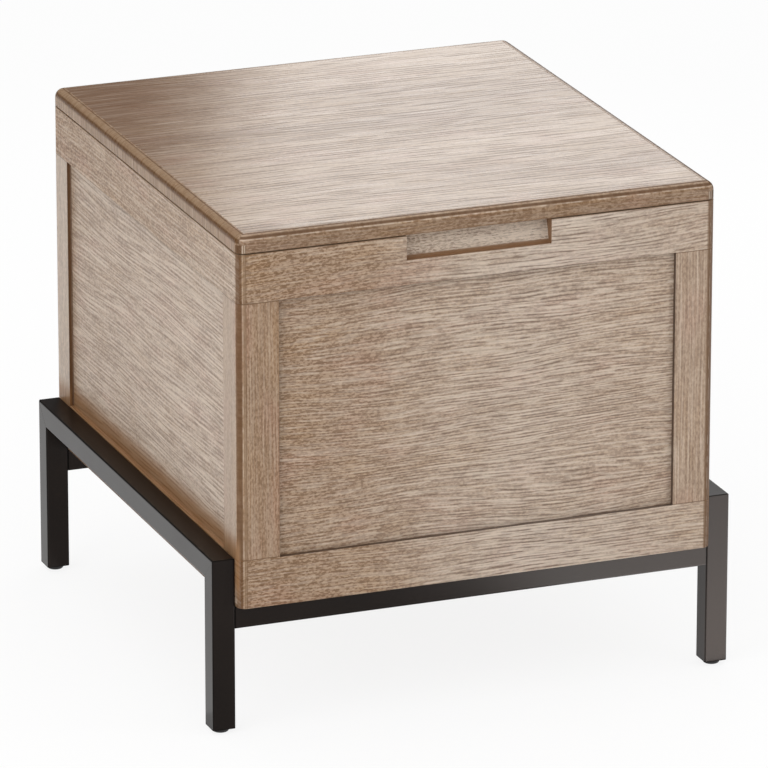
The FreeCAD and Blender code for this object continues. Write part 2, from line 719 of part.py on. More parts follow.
# Lid stays. The track's line runs through the hinge axis and the arm is as long as the bracket
# pivot is far from that axis, so the lid, the arm and the block turn at fixed ratios.
def stay_placement(side, y, z, slope):
    """Local X runs down the given slope to the front, local Z from the box's wall inwards."""
    angle = math.radians(value(slope))
    along = Vector(0, -math.cos(angle), -math.sin(angle))
    inward = Vector(-side_sign[side], 0, 0)
    origin = Vector(side_sign[side] * value(inner_wall), value(y) + value(centre_shift), value(z))
    return Placement(origin, Rotation(along, inward.cross(along), inward, "XYZ"))


def make_track(side):
    body = new_body(f"stay_track_{side}")
    start = f"({stay_near} - block_half - block_play)"
    end = f"({stay_far} + block_half + block_rest)"
    mouth, lip = "(track_depth - track_wall)", "(track_half - track_wall)"
    channel = [
        ("-track_half", 0),
        ("track_half", 0),
        ("track_half", "track_depth"),
        ("track_slot", "track_depth"),
        ("track_slot", mouth),
        (lip, mouth),
        (lip, "track_wall"),
        (f"-{lip}", "track_wall"),
        (f"-{lip}", mouth),
        ("-track_slot", mouth),
        ("-track_slot", "track_depth"),
        ("-track_half", "track_depth"),
    ]
    pad(body, add_loop(new_sketch(body, "YZ_Plane", start), channel), f"{end} - {start}")
    for place in (f"{start} - track_wall", end):
        cap = rectangle("-track_half", 0, "track_half", "track_depth")
        pad(body, add_loop(new_sketch(body, "YZ_Plane", place), cap), "track_wall")
    near, far = f"({start} - track_wall)", f"({end} + track_wall)"
    for root, tip, turn in ((near, f"({near} - track_tab)", -1), (far, f"({far} + track_tab)", 1)):
        shoulder = f"({tip} - {turn} * tab_corner)"
        tab = [
            (root, "-track_half"),
            (shoulder, "-track_half", "tab_corner", turn),
            (tip, "-track_half + tab_corner"),
            (tip, "track_half - tab_corner", "tab_corner", turn),
            (shoulder, "track_half"),
            (root, "track_half"),
        ]
        pad(body, add_loop(new_sketch(body, "XY_Plane"), tab), "track_wall")
    spots = [(along, 0) for along in track_screw_spots()]
    fastener_holes(body, "XY_Plane", 0, spots, "screw_radius + screw_play", "4 * track_depth", symmetric=True)
    body.Placement = stay_placement(side, hinge_y, hinge_z, "stay_slope")
    sub_parts.append(body)


def make_block(side):
    """A nylon block in the track with a neck through the slot."""
    body = new_body(f"stay_block_{side}")
    half = "(track_half - track_wall - block_play)"
    floor, ceiling = "(track_wall + block_play)", "(track_depth - track_wall - block_play)"
    plan = rectangle("-block_half", f"-{half}", "block_half", half)
    pad(body, add_loop(new_sketch(body, "XY_Plane", floor), plan), f"{ceiling} - {floor}")
    neck = "(track_slot - block_play)"
    plan = rectangle("-block_half + neck_inset", f"-{neck}", "block_half - neck_inset", neck)
    pad(body, add_loop(new_sketch(body, "XY_Plane", ceiling), plan), f"arm_stand - arm_play - {ceiling}")
    holes(body, "XY_Plane", 0, [(0, 0)], "pivot_radius", "4 * track_depth", symmetric=True)
    body.Placement = stay_placement(side, block_y, block_z, "stay_slope")
    sub_parts.append(body)


def stay_pin(label, side, y, z, start, end):
    """A pin across the arm, from one depth off the wall to another."""
    body = new_body(label)
    pad(body, add_circle(new_sketch(body, "XY_Plane", start), 0, 0, "pivot_radius"), f"{end} - ({start})")
    body.Placement = stay_placement(side, y, z, "stay_slope")
    return body


def pin_head(body, place):
    ring = fastener_ring(0, 0, "pivot_head_radius")
    pad(body, add_loop(new_sketch(body, "XY_Plane", place), ring), "pivot_head")


def make_stay_pins():
    """The block's pin has its head on the arm, the bracket's rivet is flush with the ear."""
    bracket_pins = []
    for side in side_sign:
        start = "(track_wall + 2 * block_play)"
        pin = stay_pin(f"stay_block_pin_{side}", side, block_y, block_z, start, arm_outside)
        pin_head(pin, arm_outside)
        sub_parts.append(pin)
        start, end = "(arm_stand - arm_play)", f"{ear_stand} + arm_thickness"
        rivet = stay_pin(f"bracket_pin_{side}", side, bracket_y, bracket_z, start, end)
        pin_head(rivet, f"{start} - pivot_head")
        bracket_pins.append(rivet)
    placed_group(bracket_pins, "stay_bracket_pins")


def make_arm(side):
    body = new_body(f"stay_arm_{side}")
    plan = [
        (0, "-arm_half"),
        ("stay_reach", "-arm_half", "arm_half", 1),
        ("stay_reach + arm_half", 0, "arm_half", 1),
        ("stay_reach", "arm_half"),
        (0, "arm_half", "arm_half", 1),
        ("-arm_half", 0, "arm_half", 1),
    ]
    pad(body, add_loop(new_sketch(body, "XY_Plane", "arm_stand"), plan), "arm_thickness")
    spots = [(0, 0), ("stay_reach", 0)]
    holes(body, "XY_Plane", 0, spots, "pivot_radius + running_gap", "4 * arm_stand", symmetric=True)
    body.Placement = stay_placement(side, bracket_y, bracket_z, "stay_slope + stay_lead")
    sub_parts.append(body)


def make_bracket(side):
    """An ear for the arm's pivot, bent over into a flange under the lid."""
    body = new_body(f"stay_bracket_{side}")
    turn = side_sign[side]
    top = f"{turn} * ({lid_bottom} - {bracket_z})"
    ear = [
        ("arm_half + ear_flare", top),
        ("-arm_half - ear_flare", top),
        ("-arm_half", 0, "arm_half", turn),
        (0, f"{-turn} * arm_half", "arm_half", turn),
        ("arm_half", 0),
    ]
    pad(body, add_loop(new_sketch(body, "XY_Plane", ear_stand), ear), "arm_thickness")
    flange = rectangle("-flange_half", f"{top} - {turn} * arm_thickness", "flange_half", top)
    pad(body, add_loop(new_sketch(body, "XY_Plane", ear_stand), flange), "flange_width")
    holes(body, "XY_Plane", 0, [(0, 0)], "pivot_radius", "4 * flange_width", symmetric=True)
    spots = [(f"{step} * flange_half / 2", f"{ear_stand} + flange_screw") for step in (-1, 1)]
    radius = "screw_radius + screw_play"
    fastener_holes(body, "XZ_Plane", 0, spots, radius, "4 * flange_width", symmetric=True)
    body.Placement = stay_placement(side, bracket_y, bracket_z, "0")
    sub_parts.append(body)


def flange_screw_spots(side):
    x = f"{side_sign[side]} * ({inner_wall} - {ear_stand} - flange_screw)"
    return [(x, f"{bracket_y} + {step} * flange_half / 2") for step in (-1, 1)]


def make_bracket_screws():
    screws = []
    for side in side_sign:
        for x, y in flange_screw_spots(side):
            face = f"({lid_bottom} - arm_thickness)"
            head = prism("screw_head_radius", "pan_head", (x, y, f"{face} - pan_head"))
            shank = prism("screw_radius", "arm_thickness + screw_length - past", (x, y, face))
            screws.append(joined([head, shank]))
    group(screws, "stay_bracket_screws")


def make_track_screws():
    screws = []
    for side in side_sign:
        for along in track_screw_spots():
            body = new_body("track_screw")
            head = new_sketch(body, "XY_Plane", "track_wall")
            pad(body, add_loop(head, fastener_ring(along, 0, "screw_head_radius")), "pan_head")
            shank = new_sketch(body, "XY_Plane", "-screw_length + past")
            ring = fastener_ring(along, 0, "screw_radius")
            pad(body, add_loop(shank, ring), "screw_length - past + track_wall")
            body.Placement = stay_placement(side, hinge_y, hinge_z, "stay_slope")
            screws.append(body)
    placed_group(screws, "stay_track_screws")


for side in side_sign:
    for end in end_sign:
        make_leg(side, end)
        make_foot(side, end)
        make_post(side, end)
    make_side_rail(side)
    make_side_top_rail(side)
    for level in ("case", "lid"):
        hinge_leaf(side, level)
    make_track(side)
    make_block(side)
    make_arm(side)
    make_bracket(side)
for end in end_sign:
    make_cross_rail(end)
for face in ("front", "back", "left", "right"):
    make_bottom_rail(face)
    make_panel(face)
make_leg_plugs()
make_frame_fasteners()
make_front_top_rail()
make_back_top_rail()
make_bottom_board()
make_bumpers()
make_lid_core()
make_lippings()
make_hinge_pins()
for level in ("case", "lid"):
    make_hinge_screws(level)
make_stay_pins()
make_bracket_screws()
make_track_screws()
document.recompute()

# Every object has to be sound before anything is written
for item in document.Objects:
    if "Invalid" in item.State or "Error" in item.State:
        raise RuntimeError(f"{item.Label} failed: {item.State}")
for part in sub_parts:
    if part.Shape.isNull() or not part.Shape.isValid():
        raise RuntimeError(f"{part.Label} has no valid shape")

os.makedirs("parts", exist_ok=True)
for part in sub_parts:
    part.Shape.exportStep(f"parts/{part.Label}.step")
print(len(sub_parts), "sub-parts,", sum(len(part.Shape.Solids) for part in sub_parts), "solids")
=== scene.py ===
import json
import math

import bmesh
import bpy
from mathutils import Matrix, Vector

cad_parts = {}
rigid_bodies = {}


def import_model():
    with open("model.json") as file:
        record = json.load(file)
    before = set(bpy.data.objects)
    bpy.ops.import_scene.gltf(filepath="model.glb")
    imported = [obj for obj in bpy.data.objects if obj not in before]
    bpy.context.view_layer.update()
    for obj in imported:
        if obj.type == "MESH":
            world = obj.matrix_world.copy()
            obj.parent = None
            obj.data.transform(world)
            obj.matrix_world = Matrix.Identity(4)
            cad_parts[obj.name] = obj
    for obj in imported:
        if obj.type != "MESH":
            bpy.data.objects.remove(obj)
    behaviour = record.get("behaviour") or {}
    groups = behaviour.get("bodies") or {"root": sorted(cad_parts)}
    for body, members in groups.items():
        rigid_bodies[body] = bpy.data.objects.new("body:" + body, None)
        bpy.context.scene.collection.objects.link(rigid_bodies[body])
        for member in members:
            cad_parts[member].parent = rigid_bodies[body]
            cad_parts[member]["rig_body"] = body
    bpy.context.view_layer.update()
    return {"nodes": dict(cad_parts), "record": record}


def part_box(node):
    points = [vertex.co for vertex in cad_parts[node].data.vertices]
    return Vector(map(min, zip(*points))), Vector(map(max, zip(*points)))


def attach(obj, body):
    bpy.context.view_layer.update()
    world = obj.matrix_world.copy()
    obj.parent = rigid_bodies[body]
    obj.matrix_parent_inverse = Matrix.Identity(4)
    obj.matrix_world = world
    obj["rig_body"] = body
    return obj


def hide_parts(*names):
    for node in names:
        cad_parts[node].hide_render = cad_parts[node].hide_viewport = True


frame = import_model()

nodes = frame["nodes"]
slotOf = {part["node"]: part["material_slot"] for part in frame["record"]["subparts"]}
mm = 0.001
sharp = math.radians(35)  # steeper arrises are eased, and sharp in the shading

# Sizes read from the frame, in millimetres
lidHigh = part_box("lid_edge_right")[1]
caseMiddle = (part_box("top_rail_front")[0].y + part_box("top_rail_back")[1].y) / 2 / mm
halfWide = lidHigh.x / mm
halfDeep = (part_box("top_rail_back")[1].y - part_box("top_rail_front")[0].y) / 2 / mm
lidTop = lidHigh.z / mm
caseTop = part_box("top_rail_front")[1].z / mm
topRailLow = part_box("top_rail_front")[0].z / mm
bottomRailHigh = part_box("bottom_rail_front")[1].z / mm
stileInner = -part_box("corner_post_front_left")[1].x / mm
stileInnerDeep = -(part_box("corner_post_front_left")[1].y / mm - caseMiddle)
print("sizes", halfWide, halfDeep, caseMiddle, lidTop, caseTop, stileInner, stileInnerDeep)


# Shader maths as expressions
class Wire:  # one output socket; sums on it add Math nodes
    def __init__(self, bench, socket):
        self.bench = bench
        self.socket = socket

    def __add__(self, other):
        return self.bench.sum("ADD", self, other)

    def __radd__(self, other):
        return self.bench.sum("ADD", other, self)

    def __sub__(self, other):
        return self.bench.sum("SUBTRACT", self, other)

    def __rsub__(self, other):
        return self.bench.sum("SUBTRACT", other, self)

    def __mul__(self, other):
        return self.bench.sum("MULTIPLY", self, other)

    def __truediv__(self, other):
        return self.bench.sum("DIVIDE", self, other)

    def __gt__(self, other):
        return self.bench.sum("GREATER_THAN", self, other)

    def __lt__(self, other):
        return self.bench.sum("LESS_THAN", self, other)

    def __pow__(self, other):
        return self.bench.sum("POWER", self, other)

    def __abs__(self):
        return self.bench.sum("ABSOLUTE", self)

    def atLeast(self, other):
        return self.bench.sum("MAXIMUM", self, other)

    def atMost(self, other):
        return self.bench.sum("MINIMUM", self, other)

    def ease(self, low, high, start=0.0, end=1.0):  # smooth step from low to high
        return self.bench.add(
            "MapRange",
            {"interpolation_type": "SMOOTHSTEP"},
            {"Value": self, "From Min": low, "From Max": high, "To Min": start, "To Max": end},
        )

    def steps(self, *stops):  # piecewise curve through (place, value) stops, as a grey ramp
        return self.bench.add("ValToRGB", {"stops": [(p, (v, v, v, 1)) for p, v in stops]}, {0: self})


class Bench:  # the node tree of one material
    def __init__(self, tree):
        self.tree = tree
        tree.nodes.clear()

    def add(self, kind, settings=None, sockets=None, out=0):
        node = self.tree.nodes.new("ShaderNode" + kind)
        for key, value in (settings or {}).items():
            if key == "stops":
                ramp = node.color_ramp
                value = list(value) * 2 if len(value) == 1 else value  # a ramp has two stops or more
                while len(ramp.elements) < len(value):
                    ramp.elements.new(0.5)
                for element, (place, colour) in zip(ramp.elements, value):
                    element.position = place
                    element.color = colour
            else:
                setattr(node, key, value)
        for key, value in (sockets or {}).items():
            if isinstance(value, Wire):
                self.tree.links.new(value.socket, node.inputs[key])
            elif hasattr(value, "__len__") and node.inputs[key].type == "RGBA":
                node.inputs[key].default_value = (*value[:3], 1)
            else:
                node.inputs[key].default_value = value
        return Wire(self, node.outputs[out]) if node.outputs else None

    def sum(self, operation, *values):
        return self.add("Math", {"operation": operation}, dict(enumerate(values)))

    def place(self):  # the three Object coordinates in millimetres
        point = self.add("TexCoord", out=3)
        point = self.add("VectorMath", {"operation": "SCALE"}, {0: point, "Scale": 1 / mm})
        return [self.add("SeparateXYZ", {}, {0: point}, out=i) for i in range(3)]

    def noise(self, x, y, z, detail=2.0, rough=0.5):
        point = self.add("CombineXYZ", {}, {0: x, 1: y, 2: z})
        return self.add("TexNoise", {}, {"Vector": point, "Scale": 1.0, "Detail": detail, "Roughness": rough})

    def ramp(self, amount, *stops):  # colours at (place, colour) stops
        return self.add("ValToRGB", {"stops": [(p, (*colour, 1)) for p, colour in stops]}, {0: amount})

    def tint(self, mask, under, over, way="MIX"):  # colour mix
        return self.add("Mix", {"data_type": "RGBA", "blend_type": way}, {0: mask, 6: under, 7: over}, out=2)

    def finish(self, colour, roughness, height, bump, bumpDepth, **constants):
        sockets = {"Base Color": colour, "Roughness": roughness}
        sockets["Normal"] = self.add("Bump", {}, {"Strength": bump, "Distance": bumpDepth, "Height": height})
        surface = self.add("BsdfPrincipled", {}, {**sockets, **constants})
        self.add("OutputMaterial", {}, {"Surface": surface})


def newMaterial(name):
    material = bpy.data.materials.new(name)
    material.use_nodes = True
    return material, Bench(material.node_tree)


# Washed oak
oak = {
    "brown": (0.218, 0.125, 0.066),
    "tan": (0.310, 0.195, 0.115),
    "pale": (0.400, 0.275, 0.180),
    "ochre": (1.02, 0.985, 0.91),
    "rose": (1.03, 0.950, 0.955),
    # honey, also painted light in lighter bands on the arrises and inside the lid seam
    "honey": (0.330, 0.218, 0.130),
    # painted shade on the lid's back left corner
    "shade": (0.182, 0.096, 0.050),
    # white wash, also painted sheen where the washes run in gradients
    "washAndSheen": (0.680, 0.605, 0.535),
    # lime, also painted highlight lines on the arrises and painted light in the finger recess
    "lime": (0.680, 0.570, 0.465),
    "pore": (0.110, 0.060, 0.033),
    # stain, also painted shade on the arrises, beside the lid seam and beside the base frame
    "stainAndShade": (0.112, 0.046, 0.011),
    # painted shade: the next five colours darken the finger recess's ledge and ends, the lid's arris bands,
    # the side beside the base frame, and the recess walls beside the panels
    "ledge": (0.210, 0.098, 0.036),
    "edge": (0.070, 0.028, 0.007),
    "foot": (0.300, 0.148, 0.060),
    "recessShade": (0.030, 0.011, 0.004),
    "rebateShade": (0.100, 0.042, 0.012),
    "rough": 0.38,
    "lidRough": 0.30,
}
grainLayers = {  # length and width in millimetres, slice of the noise, detail
    "bands": (620.0, 13.0, 1.0, 2.0),
    "streaks": (190.0, 3.8, 2.0, 1.0),
    "threads": (70.0, 1.6, 3.0, 0.5),
    "phase": (90.0, 8.0, 4.5, 1.0),
    "breaks": (20.0, 2.6, 5.5, 0.5),
    "limes": (30.0, 1.7, 6.5, 0.0),
    "grit": (3.6, 1.7, 8.5, 1.0),
    "clouds": (150.0, 34.0, 6.0, 2.0),
    "hue": (95.0, 42.0, 7.0, 1.0),
}
grainBends = {  # length and width in millimetres, slice of the noise, millimetres moved
    "drift": (310.0, 105.0, 0.0, 2.6),
    "ripple": (60.0, 24.0, 3.0, 2.0),
}
seedStep = 731.0  # millimetres along the grain from one board's figure to the next
grainWeights = {
    "streaks": 0.12,
    "clouds": 0.14,
    "threads": 0.45,
    "pores": 0.46,
    "growth": 0.44,
    "limes": 0.54,
}
growthLine = 3.6  # millimetres from one growth line to the next
washReach = 300.0  # washes run from this far before the table's middle to as far beyond it, in millimetres
faces = {  # depth behind the outer face, in millimetres
    "top": lambda x, y, z: lidTop - z,
    "front": lambda x, y, z: y - (caseMiddle - halfDeep),
    "back": lambda x, y, z: (caseMiddle + halfDeep) - y,
    "left": lambda x, y, z: x + halfWide,
    "right": lambda x, y, z: halfWide - x,
}
# Bands across the rounded arrises: stain with painted shade, lighter bands of painted light, and painted
# highlight lines that are also rubbed lime; the right corner's band is painted shade
arris = {
    "radius": 10.0,
    # upright corners, from 0 on the side face to 1 on the front
    "cornerStainShade": (
        (0.0, 0.0), (0.15, 0.05), (0.21, 0.9), (0.63, 1.0), (0.69, 0.35), (0.72, 0.0),
        (0.77, 0.05), (0.81, 0.42), (0.93, 0.36), (0.96, 0.7), (1.0, 0.1),
    ),
    "cornerHoney": ((0.66, 0.0), (0.76, 0.7), (0.92, 0.7), (1.0, 0.0)),
    "cornerRubbedGlint": ((0.67, 0.0), (0.73, 0.50), (0.79, 0.0), (0.85, 0.0), (0.88, 0.3), (0.91, 0.0)),
    "lidCornerRubbedGlint": ((0.68, 0.0), (0.73, 0.9), (0.79, 0.1), (0.83, 0.1), (0.89, 0.8), (0.94, 0.0)),
    "rightCornerShade": ((0.03, 0.0), (0.12, 1.0), (0.88, 1.0), (0.96, 0.0)),
    # round the lid, from 0 on top to 1 on its edge
    "lidFront": (
        (0.02, 0.0), (0.07, 0.85), (0.16, 0.80), (0.21, 0.10), (0.34, 0.10), (0.40, 0.85),
        (0.54, 0.95), (0.60, 0.25), (0.63, 0.0), (0.70, 0.0), (0.76, 0.25), (1.0, 0.25),
    ),
    "lidLeft": (
        (0.02, 0.0), (0.05, 0.80), (0.10, 0.70), (0.14, 0.12), (0.54, 0.20),
        (0.64, 0.85), (0.84, 0.90), (0.94, 0.25), (1.0, 0.12),
    ),
    "lidAway": ((0.0, 0.0), (0.04, 0.35), (0.18, 0.95), (0.6, 0.95), (1.0, 0.3)),
    "lidHoney": ((0.05, 0.0), (0.16, 0.75), (0.56, 0.75), (0.68, 0.3), (1.0, 0.2)),
    "lidRubbedGlint": ((0.20, 0.0), (0.26, 0.35), (0.34, 0.0), (0.60, 0.0), (0.65, 0.80), (0.71, 0.0)),
}


def arrises(b, x, y, z, lid, seed):  # masks on the rounded arrises: stain with painted shade bands, lighter bands of painted light, and rubbed-through lime that is also painted highlight lines
    outX = (abs(x) - (halfWide - arris["radius"])).atLeast(0)
    outY = (abs(y - caseMiddle) - (halfDeep - arris["radius"])).atLeast(0)
    grit = b.noise(x / 9.0, y / 9.0, z / 9.0 + seed, 2.0)
    sweep = b.sum("ARCTAN2", outY, outX) / (math.pi / 2)
    corner = (outX > 0.02) * (outY > 0.02)
    if lid:
        corner = corner * (z < lidTop - arris["radius"] + 0.01)
    stainAndShade = sweep.steps(*arris["cornerStainShade"]) * corner
    honey = sweep.steps(*arris["cornerHoney"]) * corner
    rubbedGlint = sweep.steps(*arris["cornerRubbedGlint"]) * corner * grit.ease(0.38, 0.62)
    if lid:
        rubbedGlint = rubbedGlint.atLeast(sweep.steps(*arris["lidCornerRubbedGlint"]) * corner)
        out = (outX * outX + outY * outY) ** 0.5
        rise = (z - (lidTop - arris["radius"])).atLeast(0)
        turn = b.sum("ARCTAN2", out, rise) / (math.pi / 2)
        onSide = outX > outY
        front = turn.steps(*arris["lidFront"])
        side = turn.steps(*arris["lidLeft"])
        away = turn.steps(*arris["lidAway"])  # the right and back edges
        side = side + (x > 0) * (away - side)
        front = front + (y > 0) * (away - front)
        stainAndShade = stainAndShade.atLeast(front + onSide * (side - front))
        honey = honey.atLeast(turn.steps(*arris["lidHoney"]) * (0.55 + onSide * 0.45))
        wornGlint = turn.steps(*arris["lidRubbedGlint"]) * (1 - onSide)
        rubbedGlint = rubbedGlint.atLeast(wornGlint * grit.ease(0.36, 0.60))
    # painted shade on the right front corner, darker against the sheen it catches
    rightCorner = corner * (x > 0) * (y < 0)
    stainAndShade = stainAndShade.atLeast(rightCorner * sweep.steps(*arris["rightCornerShade"]))
    return stainAndShade * grit.ease(0.25, 0.6, 0.85, 1.0), honey, rubbedGlint


joint = {
    "glue": 0.9,  # glue line at a post's ends
    "line": 0.35,  # painted shade line beside a panel
    "layer": 7.0,  # outer layer of the frame, a little deeper than the panels' recess
}


def jointsAndRecessShade(b, colour, x, y, z, part):  # dark glue lines where posts and rails meet, and painted shade on the recess walls beside the panels
    away = abs(y - caseMiddle)
    if part == "post":  # glue lines at its ends, painted shade on the recess walls and steps at the panels, and a paler side face
        ends = (z > topRailLow - joint["glue"]).atLeast(z < bottomRailHigh + joint["glue"])
        colour = b.tint(ends * 0.6, colour, oak["stainAndShade"])
        recessShade = (abs(x) < stileInner + joint["line"]) * (away > halfDeep - joint["layer"])
        colour = b.tint(recessShade * 0.82, colour, oak["recessShade"])
        rebateShade = (away < stileInnerDeep + joint["line"]) * (abs(x) > halfWide - joint["layer"])
        rebateShade = rebateShade * (abs(x) - halfWide).ease(-5.5, -2.0, 0.55, 0.95)
        colour = b.tint(rebateShade, colour, oak["rebateShade"])
        return b.tint((abs(x) > halfWide - 0.3) * 0.24, colour, oak["washAndSheen"])
    # painted shade on the recess walls beside the panels, under the top rail and on the bottom rail's ledge
    edge = z < topRailLow + joint["line"] if part == "topRail" else z > bottomRailHigh - joint["line"]
    inner = (abs(x) < stileInner) * (away > halfDeep - joint["layer"])
    side = (away < stileInnerDeep) * (abs(x) > halfWide - joint["layer"])
    lines = inner + side * (0.15 if part == "bottomRail" else 1.0)
    return b.tint(lines * edge * 0.80, colour, oak["recessShade"])


pull = {"halfWide": 81.5, "ledge": 505.0, "deep": 20, "margin": 0.3}  # finger recess, in millimetres


def fingerRecess(b, colour, x, y, z, grit):  # limed inside, partly painted light that lifts the recess's shade, and browner on its ledge and ends, painted shade
    face = caseMiddle - halfDeep
    recess = (abs(x) < pull["halfWide"] + pull["margin"]) * (z > pull["ledge"] - pull["margin"])
    recess = recess * (y > face + 0.5) * (y < face + pull["deep"])
    ledge = recess * z.ease(pull["ledge"] + 4.2, pull["ledge"] + 2.2)
    ends = recess * (abs(x) > pull["halfWide"] - pull["margin"])
    colour = b.tint(recess * (grit.ease(0.38, 0.62) * 0.62 + 0.10), colour, oak["lime"])
    return b.tint(ledge.atLeast(ends) * 0.92, colour, oak["ledge"])


railShadeMark = {  # heights above the floor and depth from the side face of the painted shade beside the base frame, in millimetres
    "top": 228.0,
    "full": 203.0,
    "low": 142.0,
    "lowFull": 170.0,
    "railEdge": 149.0,
    "railEdgeFull": 143.0,
    "deep": 8.0,
}


def railShadeAndReflection(b, colour, x, z, part, pores, limes):  # painted shade and painted reflection of the base frame, browner where it stands against the box
    beside = abs(x) > halfWide - railShadeMark["deep"]
    railShade = beside * z.ease(railShadeMark["top"], railShadeMark["full"])
    if part != "panel":
        outside = (abs(x) - halfWide).ease(-4.0, -0.5)
        railShade = railShade * z.ease(railShadeMark["low"], railShadeMark["lowFull"]) * outside
    if part == "bottomRail":
        railShade = railShade.atLeast(beside * (z > bottomRailHigh - 0.3))
        # painted shade along the side's lowest edge, under the base tube
        lower = (abs(x) > halfWide - 0.6) * z.ease(railShadeMark["railEdge"], railShadeMark["railEdgeFull"])
        colour = b.tint(lower * 0.85, colour, oak["stainAndShade"])
    colour = b.tint(railShade * 0.86, colour, oak["foot"])
    colour = b.tint(railShade * pores * 0.40, colour, oak["stainAndShade"])
    return b.tint(railShade * limes.ease(0.50, 0.62) * 0.30, colour, oak["honey"])


seamMark = {  # its middle above the box, then half heights and depths, in millimetres
    "middle": 0.6,
    "half": 0.75,
    "deep": 4.0,
    "seamShade": 1.9,
    "haloDeep": 0.4,
}


def lidSeamLightAndShade(b, colour, x, y, z):  # paler inside the seam under the lid, painted light that lifts its shade, and a painted shade line along it
    inset = (halfWide - abs(x)).atMost(halfDeep - abs(y - caseMiddle))
    off = abs(z - (caseTop + seamMark["middle"]))
    colour = b.tint((off < seamMark["half"]) * (inset < seamMark["deep"]) * 0.85, colour, oak["honey"])
    seamShade = (1.0 - off / seamMark["seamShade"]).atLeast(0) * (inset < seamMark["haloDeep"])
    return b.tint(seamShade * 0.8, colour, oak["stainAndShade"])


def oakMaterial(
    name,
    grain,  # its direction: x, y or z, or xFlat on a level board
    face,  # the outer face
    seed,  # moves the figure along the board
    part="panel",
    tilt=0.0,  # slope of the grain
    wander=12.0,  # how far the grain bends
    lean=1.0,  # how far the figure runs on past an arris
    fine=1.0,  # scale across the grain
    reach=1.0,  # scale along the grain
    broad=1.0,  # width of the broad bands
    figure=0.22,  # strength of the broad bands
    contrast=1.0,
    speckle=3.2,
    lime=1.0,
    washAndSheen=((0.0, 0.0),),  # (place, amount) stops of the white wash, which also paint sheen and light along the board
    washAlong="x",
    sheen=0.25,
):
    material, b = newMaterial(name)
    x, y, z = b.place()
    deep = faces[face](x, y, z)
    along = {"x": x, "xFlat": x, "y": y, "z": z}[grain]
    if grain == "z":
        across = x + y
    else:
        across = (y if grain == "xFlat" else z) + deep * lean
    shift = seed * seedStep

    def bend(bendName, longer, amount):
        length, width, level, moved = grainBends[bendName]
        bent = b.noise(along / (length * longer) + shift, across / width, level, 1.0) - 0.5
        return bent * (amount * moved)

    q = across + along * tilt + bend("drift", 1.0, wander) + bend("ripple", reach, 1.0)
    u = along + shift

    def layer(layerName, longer=reach, wider=fine, over=q):
        length, width, level, detail = grainLayers[layerName]
        return b.noise(u / (length * longer), over / (width * wider), level, detail)

    bands = layer("bands", 1.0, broad)
    streaks = layer("streaks")
    threads = layer("threads")
    wave = b.sum("SINE", q * (2 * math.pi / (growthLine * fine)) + layer("phase") * 9.0)
    breaks = layer("breaks")
    limes = layer("limes")
    grit = layer("grit", 1.0)
    pores = wave.ease(-0.05, -0.85) * breaks.ease(0.62, 0.42)
    cloud = layer("clouds", 1.0, 1.0, across)
    hue = layer("hue", 1.0, 1.0, across)

    tone = 0.5 + (bands - 0.5) * figure + (streaks - 0.5) * (grainWeights["streaks"] * contrast)
    tone = tone + (cloud - 0.5) * grainWeights["clouds"]
    tone = tone + (threads - 0.5) * (grainWeights["threads"] * contrast) + (grit - 0.5) * speckle
    colour = b.ramp(tone, (0.22, oak["brown"]), (0.5, oak["tan"]), (0.8, oak["pale"]))
    colour = b.tint(hue.ease(0.50, 0.72), colour, oak["ochre"], "MULTIPLY")
    colour = b.tint(hue.ease(0.50, 0.28), colour, oak["rose"], "MULTIPLY")

    if washAlong == "corner":  # from the lid's back left corner, at -300, to its front right one
        measure = ((x + 260.0) / 240.0 + (262.0 - y) / 480.0) * 150.0 - 300.0
    else:
        measure = {"x": x, "y": y}[washAlong]
    # painted sheen and light: the wash's gradients make boards paler where the light and sheen fall stronger
    spread = (measure + washReach) / (2 * washReach)
    washAndSheenAmount = spread.steps(*[((place + washReach) / (2 * washReach), amount) for place, amount in washAndSheen])
    colour = b.tint(washAndSheenAmount * bands.ease(0.3, 0.7, 0.84, 1.12), colour, oak["washAndSheen"])
    if washAlong == "corner":  # painted shade: the lid's back left corner browner, where its sheen falls off
        colour = b.tint(measure.ease(-115.0, -280.0) * 0.92, colour, oak["shade"])
    lift = washAndSheenAmount * 2.4 + 0.58
    colour = b.tint(pores * lift * (grainWeights["pores"] * contrast), colour, oak["pore"])
    growth = wave.ease(0.10, 0.90) * breaks.ease(0.40, 0.60)
    colour = b.tint(growth * (grainWeights["growth"] * lime) * lift, colour, oak["lime"])
    flecks = limes.ease(0.57, 0.64) * bands.ease(0.35, 0.65, 0.58, 0.84)
    colour = b.tint(flecks * (grainWeights["limes"] * lime) * lift, colour, oak["lime"])

    # the arrises: stain with painted shade, lighter bands of painted light and painted highlight lines
    stainAndShade, honey, rubbedGlint = arrises(b, x, y, z, part == "lid", seed)
    colour = b.tint(honey * 0.75, colour, oak["honey"])
    colour = b.tint(stainAndShade * 0.88, colour, oak["stainAndShade"])
    # painted shade: the lid's arris bands darker still, against the sheen they catch
    if part == "lid":
        colour = b.tint(stainAndShade * 0.45, colour, oak["edge"])
    colour = b.tint(rubbedGlint * 0.75, colour, oak["lime"])

    if part in ("post", "topRail", "bottomRail"):
        colour = jointsAndRecessShade(b, colour, x, y, z, part)
    if part == "topRail":
        colour = fingerRecess(b, colour, x, y, z, grit)
    if part in ("post", "bottomRail") or face in ("left", "right"):
        colour = railShadeAndReflection(b, colour, x, z, part, pores, limes)
    if part in ("lid", "topRail"):
        colour = lidSeamLightAndShade(b, colour, x, y, z)

    height = tone * 0.3 + limes * 0.3 - pores * 0.7
    rough = (oak["lidRough"] if part == "lid" else oak["rough"]) + (limes - 0.5) * 0.2 + pores * 0.08
    b.finish(colour, rough, height, bump=0.30, bumpDepth=0.0004, **{"Specular IOR Level": sheen})
    return material


